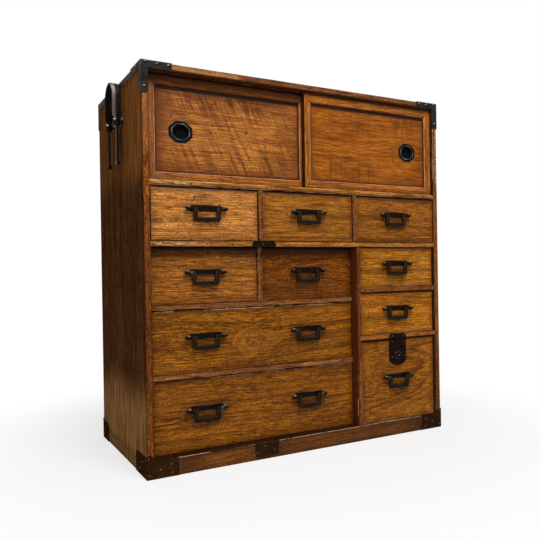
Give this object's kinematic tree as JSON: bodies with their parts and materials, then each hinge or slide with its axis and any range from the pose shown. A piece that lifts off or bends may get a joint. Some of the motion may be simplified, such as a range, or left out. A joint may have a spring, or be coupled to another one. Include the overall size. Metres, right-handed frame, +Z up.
{
  "type": "tansu chest",
  "caption": "Wooden chest with drawers of several sizes below a cupboard with two sliding doors, forged drop pulls, corner irons, a lock and a loop for a carrying pole on each side.",
  "frame": {"origin": "on the floor, at the centre of the case's footprint", "axes": "+X to the right of someone facing the chest, +Y from its front to its back, +Z up; the drawers open towards -Y"},
  "size_m": [0.842, 0.393, 0.86],
  "materials": {
    "case_wood": "worn satin lacquer",
    "front_wood": "worn satin lacquer",
    "door_wood": "worn satin lacquer",
    "inner_wood": "bare, planed",
    "pull_iron": "forged, blackened",
    "loop_iron": "forged, blackened",
    "lock_iron": "blackened, a little rusty",
    "bolt_iron": "bare",
    "case_iron": "blackened, worn and rusty at the foot"
  },
  "bodies": {
    "case": {"case_base": "case_wood", "case_side_left": "case_wood", "case_side_right": "case_wood", "case_top": "case_wood", "case_back": "inner_wood", "shelves": "case_wood", "partitions": "case_wood", "door_sill": "case_wood", "case_irons": "case_iron", "pole_loop_eyes": "loop_iron"},
    "upper_left_drawer": {"upper_left_drawer_front": "front_wood", "upper_left_drawer_box": "inner_wood", "upper_left_pull_mount": "pull_iron"},
    "upper_left_bail": {"upper_left_bail": "pull_iron"},
    "upper_middle_drawer": {"upper_middle_drawer_front": "front_wood", "upper_middle_drawer_box": "inner_wood", "upper_middle_pull_mount": "pull_iron"},
    "upper_middle_bail": {"upper_middle_bail": "pull_iron"},
    "upper_right_drawer": {"upper_right_drawer_front": "front_wood", "upper_right_drawer_box": "inner_wood", "upper_right_pull_mount": "pull_iron"},
    "upper_right_bail": {"upper_right_bail": "pull_iron"},
    "small_left_drawer": {"small_left_drawer_front": "front_wood", "small_left_drawer_box": "inner_wood", "small_left_pull_mount": "pull_iron"},
    "small_left_bail": {"small_left_bail": "pull_iron"},
    "small_right_drawer": {"small_right_drawer_front": "front_wood", "small_right_drawer_box": "inner_wood", "small_right_pull_mount": "pull_iron"},
    "small_right_bail": {"small_right_bail": "pull_iron"},
    "wide_upper_drawer": {"wide_upper_drawer_front": "front_wood", "wide_upper_drawer_box": "inner_wood", "wide_upper_pull_mount": "pull_iron"},
    "wide_upper_bail_left": {"wide_upper_bail_left": "pull_iron"},
    "wide_upper_bail_right": {"wide_upper_bail_right": "pull_iron"},
    "wide_lower_drawer": {"wide_lower_drawer_front": "front_wood", "wide_lower_drawer_box": "inner_wood", "wide_lower_pull_mount": "pull_iron"},
    "wide_lower_bail_left": {"wide_lower_bail_left": "pull_iron"},
    "wide_lower_bail_right": {"wide_lower_bail_right": "pull_iron"},
    "column_upper_drawer": {"column_upper_drawer_front": "front_wood", "column_upper_drawer_box": "inner_wood", "column_upper_pull_mount": "pull_iron"},
    "column_upper_bail": {"column_upper_bail": "pull_iron"},
    "column_lower_drawer": {"column_lower_drawer_front": "front_wood", "column_lower_drawer_box": "inner_wood", "column_lower_pull_mount": "pull_iron"},
    "column_lower_bail": {"column_lower_bail": "pull_iron"},
    "lock_drawer": {"lock_drawer_front": "front_wood", "lock_drawer_box": "inner_wood", "lock_pull_mount": "pull_iron", "lock_plate": "lock_iron"},
    "lock_bail": {"lock_bail": "pull_iron"},
    "lock_bolt": {"lock_bolt": "bolt_iron"},
    "door_left": {"door_left": "door_wood", "finger_pull_left": "pull_iron"},
    "door_right": {"door_right": "door_wood", "finger_pull_right": "pull_iron"},
    "pole_loop_left": {"pole_loop_left": "loop_iron"},
    "pole_loop_right": {"pole_loop_right": "loop_iron"}
  },
  "joints": [
    {"name": "upper_left_slide", "type": "slide", "parent": "case", "child": "upper_left_drawer", "axis": [0, -1, 0], "range_m": [0, 0.3]},
    {"name": "upper_left_bail_swing", "type": "hinge", "parent": "upper_left_drawer", "child": "upper_left_bail", "pos_m": [-0.262, -0.196, 0.5585], "axis": [-1, 0, 0], "range_deg": [-6, 182]},
    {"name": "upper_middle_slide", "type": "slide", "parent": "case", "child": "upper_middle_drawer", "axis": [0, -1, 0], "range_m": [0, 0.3]},
    {"name": "upper_middle_bail_swing", "type": "hinge", "parent": "upper_middle_drawer", "child": "upper_middle_bail", "pos_m": [-0.005, -0.196, 0.5585], "axis": [-1, 0, 0], "range_deg": [-6, 182]},
    {"name": "upper_right_slide", "type": "slide", "parent": "case", "child": "upper_right_drawer", "axis": [0, -1, 0], "range_m": [0, 0.3]},
    {"name": "upper_right_bail_swing", "type": "hinge", "parent": "upper_right_drawer", "child": "upper_right_bail", "pos_m": [0.254, -0.196, 0.5585], "axis": [-1, 0, 0], "range_deg": [-6, 182]},
    {"name": "small_left_slide", "type": "slide", "parent": "case", "child": "small_left_drawer", "axis": [0, -1, 0], "range_m": [0, 0.28]},
    {"name": "small_left_bail_swing", "type": "hinge", "parent": "small_left_drawer", "child": "small_left_bail", "pos_m": [-0.259, -0.176, 0.4225], "axis": [-1, 0, 0], "range_deg": [-6, 182]},
    {"name": "small_right_slide", "type": "slide", "parent": "case", "child": "small_right_drawer", "axis": [0, -1, 0], "range_m": [0, 0.28]},
    {"name": "small_right_bail_swing", "type": "hinge", "parent": "small_right_drawer", "child": "small_right_bail", "pos_m": [0.0025, -0.176, 0.4225], "axis": [-1, 0, 0], "range_deg": [-6, 182]},
    {"name": "wide_upper_slide", "type": "slide", "parent": "case", "child": "wide_upper_drawer", "axis": [0, -1, 0], "range_m": [0, 0.28]},
    {"name": "wide_upper_bail_left_swing", "type": "hinge", "parent": "wide_upper_drawer", "child": "wide_upper_bail_left", "pos_m": [-0.26, -0.176, 0.28325], "axis": [-1, 0, 0], "range_deg": [-6, 182]},
    {"name": "wide_upper_bail_right_swing", "type": "hinge", "parent": "wide_upper_drawer", "child": "wide_upper_bail_right", "pos_m": [0.001, -0.176, 0.28325], "axis": [-1, 0, 0], "range_deg": [-6, 182]},
    {"name": "wide_lower_slide", "type": "slide", "parent": "case", "child": "wide_lower_drawer", "axis": [0, -1, 0], "range_m": [0, 0.28]},
    {"name": "wide_lower_bail_left_swing", "type": "hinge", "parent": "wide_lower_drawer", "child": "wide_lower_bail_left", "pos_m": [-0.26, -0.176, 0.12675], "axis": [-1, 0, 0], "range_deg": [-6, 182]},
    {"name": "wide_lower_bail_right_swing", "type": "hinge", "parent": "wide_lower_drawer", "child": "wide_lower_bail_right", "pos_m": [0.001, -0.176, 0.12675], "axis": [-1, 0, 0], "range_deg": [-6, 182]},
    {"name": "column_upper_slide", "type": "slide", "parent": "case", "child": "column_upper_drawer", "axis": [0, -1, 0], "range_m": [0, 0.3]},
    {"name": "column_upper_bail_swing", "type": "hinge", "parent": "column_upper_drawer", "child": "column_upper_bail", "pos_m": [0.2565, -0.196, 0.43575], "axis": [-1, 0, 0], "range_deg": [-6, 182]},
    {"name": "column_lower_slide", "type": "slide", "parent": "case", "child": "column_lower_drawer", "axis": [0, -1, 0], "range_m": [0, 0.3]},
    {"name": "column_lower_bail_swing", "type": "hinge", "parent": "column_lower_drawer", "child": "column_lower_bail", "pos_m": [0.2565, -0.196, 0.322], "axis": [-1, 0, 0], "range_deg": [-6, 182]},
    {"name": "lock_slide", "type": "slide", "parent": "case", "child": "lock_drawer", "axis": [0, -1, 0], "range_m": [0, 0.3]},
    {"name": "lock_bail_swing", "type": "hinge", "parent": "lock_drawer", "child": "lock_bail", "pos_m": [0.2565, -0.196, 0.14925], "axis": [-1, 0, 0], "range_deg": [-6, 182]},
    {"name": "lock_bolt_slide", "type": "slide", "parent": "lock_drawer", "child": "lock_bolt", "axis": [0, 0, 1], "range_m": [0, 0.009]},
    {"name": "door_left_slide", "type": "slide", "parent": "case", "child": "door_left", "axis": [1, 0, 0], "range_m": [0, 0.377]},
    {"name": "door_right_slide", "type": "slide", "parent": "case", "child": "door_right", "axis": [-1, 0, 0], "range_m": [0, 0.377]},
    {"name": "pole_loop_left_slide", "type": "slide", "parent": "case", "child": "pole_loop_left", "axis": [0, 0, 1], "range_m": [0, 0.08]},
    {"name": "pole_loop_right_slide", "type": "slide", "parent": "case", "child": "pole_loop_right", "axis": [0, 0, 1], "range_m": [0, 0.08]}
  ]
}
